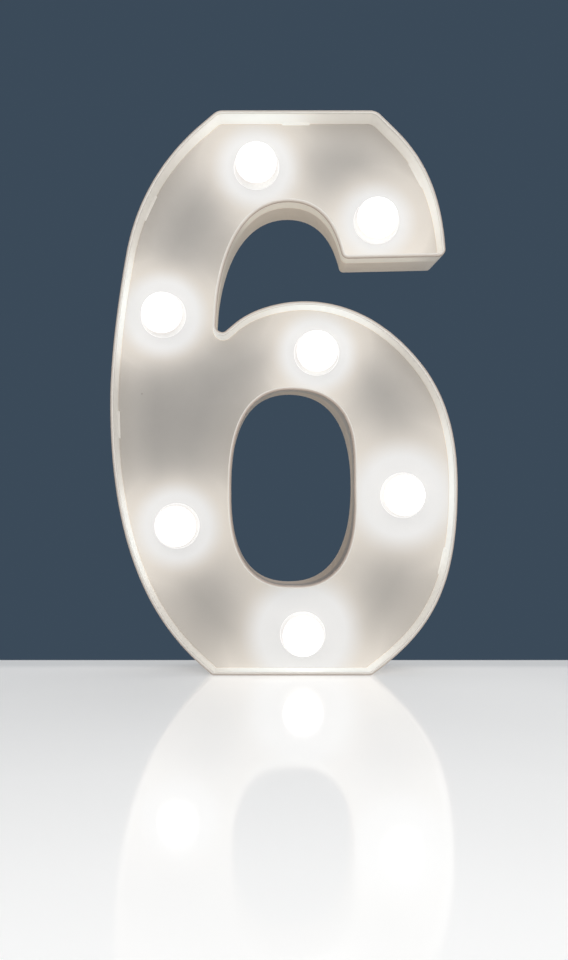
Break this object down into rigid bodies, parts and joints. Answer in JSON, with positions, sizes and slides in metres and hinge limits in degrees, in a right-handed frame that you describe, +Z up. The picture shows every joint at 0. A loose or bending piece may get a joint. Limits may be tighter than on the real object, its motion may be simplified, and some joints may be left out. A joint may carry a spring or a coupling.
{
  "type": "number light",
  "caption": "Battery light in the shape of the digit six: open white tray, recessed face panel with glowing frosted caps, cell compartment and slide switch on the back.",
  "frame": {"origin": "on the floor under the middle of the digit, halfway between the rim and the back face", "axes": "+Z up along the digit, +Y from the lit face towards the back, +X to the right as seen from the front"},
  "size_m": [0.1354, 0.042, 0.22],
  "materials": {
    "shell_plastic": "white moulded plastic, satin, lit through a little",
    "panel_plastic": "white moulded sheet, satin",
    "frosted_plastic": "frosted diffuser, glowing",
    "led_resin": "clear resin over a yellow phosphor",
    "holder_plastic": "white moulded plastic",
    "cell_jacket": "printed film over a metal can",
    "contact_metal": "nickel-plated spring steel",
    "black_plastic": "black moulded plastic",
    "screw_steel": "zinc-plated steel",
    "red_insulation": "soft red insulation",
    "black_insulation": "soft black insulation",
    "white_insulation": "soft white twin insulation"
  },
  "bodies": {
    "light_body": {"housing_shell": "shell_plastic", "face_panel": "panel_plastic", "bulb_cap_1": "frosted_plastic", "bulb_cap_2": "frosted_plastic", "bulb_cap_3": "frosted_plastic", "bulb_cap_4": "frosted_plastic", "bulb_cap_5": "frosted_plastic", "bulb_cap_6": "frosted_plastic", "bulb_cap_7": "frosted_plastic", "led_1": "led_resin", "led_2": "led_resin", "led_3": "led_resin", "led_4": "led_resin", "led_5": "led_resin", "led_6": "led_resin", "led_7": "led_resin", "led_holder_1": "holder_plastic", "led_holder_2": "holder_plastic", "led_holder_3": "holder_plastic", "led_holder_4": "holder_plastic", "led_holder_5": "holder_plastic", "led_holder_6": "holder_plastic", "led_holder_7": "holder_plastic", "string_wire_1": "white_insulation", "string_wire_2": "white_insulation", "string_wire_3": "white_insulation", "string_wire_4": "white_insulation", "string_wire_5": "white_insulation", "string_wire_6": "white_insulation", "battery_lead": "red_insulation", "switch_lead": "red_insulation", "return_lead": "black_insulation", "battery_1": "cell_jacket", "battery_2": "cell_jacket", "contact_bridge": "contact_metal", "positive_contact": "contact_metal", "spring_contact": "contact_metal", "switch_body": "black_plastic", "switch_screw_1": "screw_steel", "switch_screw_2": "screw_steel"},
    "door": {"battery_door": "shell_plastic"},
    "slider": {"switch_slider": "black_plastic"}
  },
  "joints": [
    {"name": "door_hinge", "type": "hinge", "parent": "light_body", "child": "door", "pos_m": [-0.04441, 0.0208, 0.07224], "axis": [-1, 0, 0], "range_deg": [0, 75]},
    {"name": "switch_slide", "type": "slide", "parent": "light_body", "child": "slider", "axis": [1, 0, 0], "range_m": [0, 0.003]}
  ]
}
